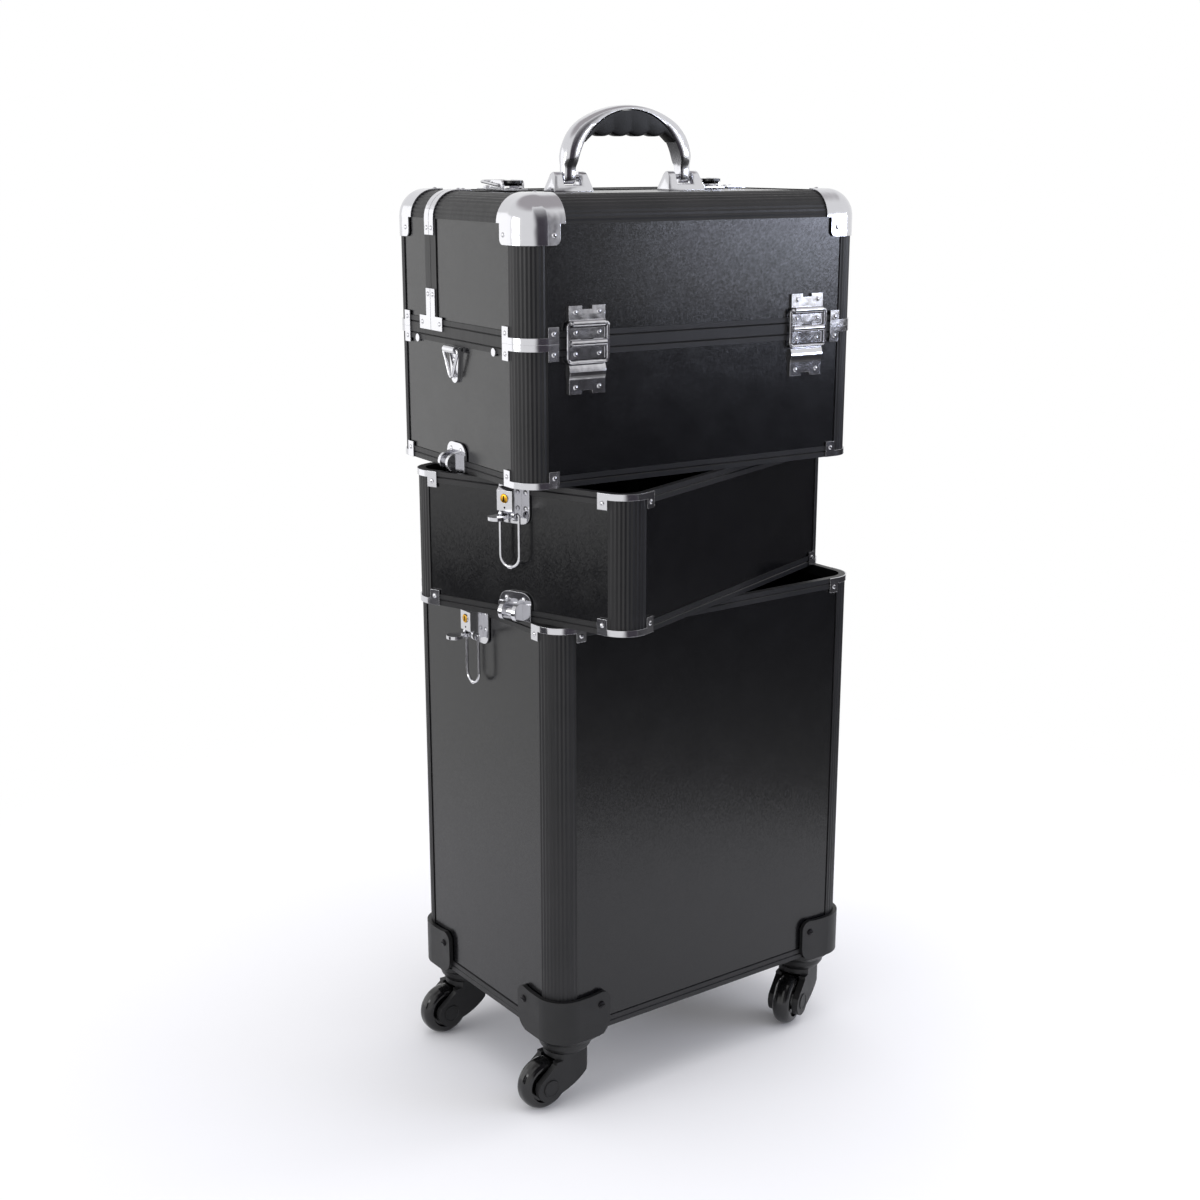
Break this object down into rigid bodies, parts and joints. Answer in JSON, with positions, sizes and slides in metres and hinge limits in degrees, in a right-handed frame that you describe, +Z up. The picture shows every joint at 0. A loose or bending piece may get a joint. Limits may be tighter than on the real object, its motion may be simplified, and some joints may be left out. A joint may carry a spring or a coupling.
{
  "type": "rolling makeup case",
  "caption": "Three-tier rolling makeup case: trolley base on swivel casters, a tray and a two-lid train case with cantilever trays, stacked and turned on each other.",
  "frame": {"origin": "on the floor under the middle of the base trolley", "axes": "+Z up, -Y towards the wide front of the base, -X towards its left end"},
  "size_m": [0.4233, 0.3314, 0.895],
  "materials": {
    "panel": "pebble-grain black panel",
    "frame": "black anodised, fluted",
    "chrome": "polished",
    "plastic": "moulded, satin",
    "wheel": "glossy",
    "rubber": "moulded grip",
    "inner_tray": "moulded tray"
  },
  "bodies": {
    "base": {"base_panels": "panel", "base_corner_posts": "frame", "base_rails": "frame", "base_corner_brackets": "chrome", "corner_feet": "plastic", "base_latch_plates": "chrome"},
    "caster_front_left": {"caster_fork_front_left": "plastic"},
    "wheel_front_left": {"caster_wheel_front_left": "wheel"},
    "caster_front_right": {"caster_fork_front_right": "plastic"},
    "wheel_front_right": {"caster_wheel_front_right": "wheel"},
    "caster_back_left": {"caster_fork_back_left": "plastic"},
    "wheel_back_left": {"caster_wheel_back_left": "wheel"},
    "caster_back_right": {"caster_fork_back_right": "plastic"},
    "wheel_back_right": {"caster_wheel_back_right": "wheel"},
    "base_latch_lever_left": {"base_latch_lever_left": "chrome"},
    "base_latch_bail_left": {"base_latch_bail_left": "chrome"},
    "base_latch_lever_right": {"base_latch_lever_right": "chrome"},
    "base_latch_bail_right": {"base_latch_bail_right": "chrome"},
    "tray_latch_lever_left": {"tray_latch_lever_left": "chrome"},
    "tray_latch_bail_left": {"tray_latch_bail_left": "chrome"},
    "tray_latch_lever_right": {"tray_latch_lever_right": "chrome"},
    "tray_latch_bail_right": {"tray_latch_bail_right": "chrome"},
    "tray": {"tray_panels": "panel", "tray_corner_posts": "frame", "tray_rails": "frame", "tray_corner_brackets": "chrome", "tray_latch_plates": "chrome", "tray_keepers": "chrome"},
    "top_box": {"box_panels": "panel", "box_corner_posts": "frame", "box_rails": "frame", "box_corner_brackets": "chrome", "box_keepers": "chrome", "box_hinge_plates": "chrome", "box_side_fittings": "chrome"},
    "strap_ring_left": {"strap_ring_left": "chrome"},
    "strap_ring_right": {"strap_ring_right": "chrome"},
    "front_lid": {"front_lid_panels": "panel", "front_lid_frame": "frame", "front_lid_corners": "chrome", "front_lid_hinge_plates": "chrome", "handle_brackets": "chrome", "top_latch_bases": "chrome"},
    "back_lid": {"back_lid_panels": "panel", "back_lid_frame": "frame", "back_lid_corners": "chrome", "back_lid_fittings": "chrome"},
    "front_hinge_loops": {"front_hinge_loops": "chrome"},
    "front_arms": {"front_arms": "chrome"},
    "front_upper_tray": {"front_upper_tray": "inner_tray"},
    "front_lower_tray": {"front_lower_tray": "inner_tray"},
    "back_hinge_loops": {"back_hinge_loops": "chrome"},
    "back_arms": {"back_arms": "chrome"},
    "back_tray": {"back_tray": "inner_tray"},
    "handle": {"handle_bow": "chrome", "handle_grip": "rubber"},
    "top_latch_lever_left": {"top_latch_lever_left": "wheel"},
    "top_latch_bail_left": {"top_latch_bail_left": "chrome"},
    "top_latch_lever_right": {"top_latch_lever_right": "wheel"},
    "top_latch_bail_right": {"top_latch_bail_right": "chrome"}
  },
  "joints": [
    {"name": "caster_swivel_front_left", "type": "hinge", "parent": "base", "child": "caster_front_left", "pos_m": [-0.145, -0.088, 0.0544], "axis": [0, 0, 1], "continuous": true},
    {"name": "wheel_roll_front_left", "type": "hinge", "parent": "caster_front_left", "child": "wheel_front_left", "pos_m": [-0.171, -0.088, 0.0245], "axis": [0, -1, 0], "continuous": true},
    {"name": "caster_swivel_front_right", "type": "hinge", "parent": "base", "child": "caster_front_right", "pos_m": [0.145, -0.088, 0.0544], "axis": [0, 0, 1], "continuous": true},
    {"name": "wheel_roll_front_right", "type": "hinge", "parent": "caster_front_right", "child": "wheel_front_right", "pos_m": [0.12163, -0.0994, 0.0245], "axis": [0.4384, -0.8988, 0], "continuous": true},
    {"name": "caster_swivel_back_left", "type": "hinge", "parent": "base", "child": "caster_back_left", "pos_m": [-0.145, 0.088, 0.0544], "axis": [0, 0, 1], "continuous": true},
    {"name": "wheel_roll_back_left", "type": "hinge", "parent": "caster_back_left", "child": "wheel_back_left", "pos_m": [-0.171, 0.088, 0.0245], "axis": [0, -1, 0], "continuous": true},
    {"name": "caster_swivel_back_right", "type": "hinge", "parent": "base", "child": "caster_back_right", "pos_m": [0.145, 0.088, 0.0544], "axis": [0, 0, 1], "continuous": true},
    {"name": "wheel_roll_back_right", "type": "hinge", "parent": "caster_back_right", "child": "wheel_back_right", "pos_m": [0.11989, 0.09473, 0.0245], "axis": [-0.2588, -0.9659, 0], "continuous": true},
    {"name": "base_lever_left_fold", "type": "hinge", "parent": "base", "child": "base_latch_lever_left", "pos_m": [-0.183, 0, 0.436], "axis": [0, -1, 0], "range_deg": [0, 80]},
    {"name": "base_bail_left_swing", "type": "hinge", "parent": "base", "child": "base_latch_bail_left", "pos_m": [-0.183, 0, 0.436], "axis": [0, 1, 0], "range_deg": [0, 115]},
    {"name": "base_lever_right_fold", "type": "hinge", "parent": "base", "child": "base_latch_lever_right", "pos_m": [0.183, 0, 0.436], "axis": [0, 1, 0], "range_deg": [0, 80]},
    {"name": "base_bail_right_swing", "type": "hinge", "parent": "base", "child": "base_latch_bail_right", "pos_m": [0.183, 0, 0.436], "axis": [0, -1, 0], "range_deg": [0, 115]},
    {"name": "tray_lever_left_fold", "type": "hinge", "parent": "tray", "child": "tray_latch_lever_left", "pos_m": [-0.18645, -0.06959, 0.557], "axis": [0.3437, -0.9391, 0], "range_deg": [0, 80]},
    {"name": "tray_bail_left_swing", "type": "hinge", "parent": "tray", "child": "tray_latch_bail_left", "pos_m": [-0.18645, -0.06959, 0.557], "axis": [-0.3437, 0.9391, 0], "range_deg": [0, 115]},
    {"name": "tray_lever_right_fold", "type": "hinge", "parent": "tray", "child": "tray_latch_lever_right", "pos_m": [0.15725, 0.05619, 0.557], "axis": [-0.3437, 0.9391, 0], "range_deg": [0, 80]},
    {"name": "tray_bail_right_swing", "type": "hinge", "parent": "tray", "child": "tray_latch_bail_right", "pos_m": [0.15725, 0.05619, 0.557], "axis": [0.3437, -0.9391, 0], "range_deg": [0, 115]},
    {"name": "tray_lift", "type": "slide", "parent": "base", "child": "tray", "axis": [0, 0, 1], "range_m": [0, 0.25]},
    {"name": "top_case_lift", "type": "slide", "parent": "tray", "child": "top_box", "axis": [0, 0, 1], "range_m": [0, 0.25]},
    {"name": "strap_ring_left_swing", "type": "hinge", "parent": "top_box", "child": "strap_ring_left", "pos_m": [-0.19504, 0.00738, 0.69], "axis": [0.0633, 0.998, 0], "range_deg": [0, 120]},
    {"name": "strap_ring_right_swing", "type": "hinge", "parent": "top_box", "child": "strap_ring_right", "pos_m": [0.16364, -0.01538, 0.69], "axis": [-0.0633, -0.998, 0], "range_deg": [0, 120]},
    {"name": "front_lid_hinge", "type": "hinge", "parent": "top_box", "child": "front_lid", "pos_m": [-0.02336, -0.12476, 0.703], "axis": [0.998, -0.0633, 0], "range_deg": [0, 90]},
    {"name": "front_loop_swing", "type": "hinge", "parent": "front_lid", "child": "front_hinge_loops", "pos_m": [-0.02336, -0.12466, 0.719], "axis": [0.998, -0.0633, 0], "range_deg": [-90, 0]},
    {"name": "front_arm_swing", "type": "hinge", "parent": "top_box", "child": "front_arms", "pos_m": [-0.02013, -0.07386, 0.694], "axis": [0.998, -0.0633, 0], "range_deg": [0, 90]},
    {"name": "front_upper_tray_level", "type": "hinge", "parent": "front_lid", "child": "front_upper_tray", "pos_m": [-0.01887, -0.0539, 0.765], "axis": [0.998, -0.0633, 0], "range_deg": [-90, 0]},
    {"name": "front_lower_tray_level", "type": "hinge", "parent": "front_lid", "child": "front_lower_tray", "pos_m": [-0.02111, -0.08933, 0.734], "axis": [0.998, -0.0633, 0], "range_deg": [-90, 0]},
    {"name": "back_lid_hinge", "type": "hinge", "parent": "top_box", "child": "back_lid", "pos_m": [-0.00804, 0.11676, 0.703], "axis": [-0.998, 0.0633, 0], "range_deg": [0, 90]},
    {"name": "back_loop_swing", "type": "hinge", "parent": "back_lid", "child": "back_hinge_loops", "pos_m": [-0.00805, 0.11666, 0.719], "axis": [-0.998, 0.0633, 0], "range_deg": [-90, 0]},
    {"name": "back_arm_swing", "type": "hinge", "parent": "top_box", "child": "back_arms", "pos_m": [-0.01127, 0.06586, 0.694], "axis": [-0.998, 0.0633, 0], "range_deg": [0, 90]},
    {"name": "back_tray_level", "type": "hinge", "parent": "back_lid", "child": "back_tray", "pos_m": [-0.01152, 0.06187, 0.748], "axis": [-0.998, 0.0633, 0], "range_deg": [-90, 0]},
    {"name": "handle_fold", "type": "hinge", "parent": "front_lid", "child": "handle", "pos_m": [-0.0157, -0.004, 0.833], "axis": [0.998, -0.0633, 0], "range_deg": [0, 88]},
    {"name": "top_lever_left_lift", "type": "hinge", "parent": "front_lid", "child": "top_latch_lever_left", "pos_m": [-0.11925, 0.03794, 0.828], "axis": [-0.998, 0.0633, 0], "range_deg": [0, 100]},
    {"name": "top_bail_left_lift", "type": "hinge", "parent": "front_lid", "child": "top_latch_bail_left", "pos_m": [-0.12001, 0.02596, 0.8265], "axis": [0.998, -0.0633, 0], "range_deg": [0, 100]},
    {"name": "top_lever_right_lift", "type": "hinge", "parent": "front_lid", "child": "top_latch_lever_right", "pos_m": [0.09232, 0.02452, 0.828], "axis": [-0.998, 0.0633, 0], "range_deg": [0, 100]},
    {"name": "top_bail_right_lift", "type": "hinge", "parent": "front_lid", "child": "top_latch_bail_right", "pos_m": [0.09156, 0.01254, 0.8265], "axis": [0.998, -0.0633, 0], "range_deg": [0, 100]}
  ],
  "couplings": [
    {"joint": "front_loop_swing", "follows": "front_lid_hinge", "ratio": -1},
    {"joint": "front_arm_swing", "follows": "front_lid_hinge", "ratio": 1},
    {"joint": "front_upper_tray_level", "follows": "front_lid_hinge", "ratio": -1},
    {"joint": "front_lower_tray_level", "follows": "front_lid_hinge", "ratio": -1},
    {"joint": "back_loop_swing", "follows": "back_lid_hinge", "ratio": -1},
    {"joint": "back_arm_swing", "follows": "back_lid_hinge", "ratio": 1},
    {"joint": "back_tray_level", "follows": "back_lid_hinge", "ratio": -1}
  ]
}
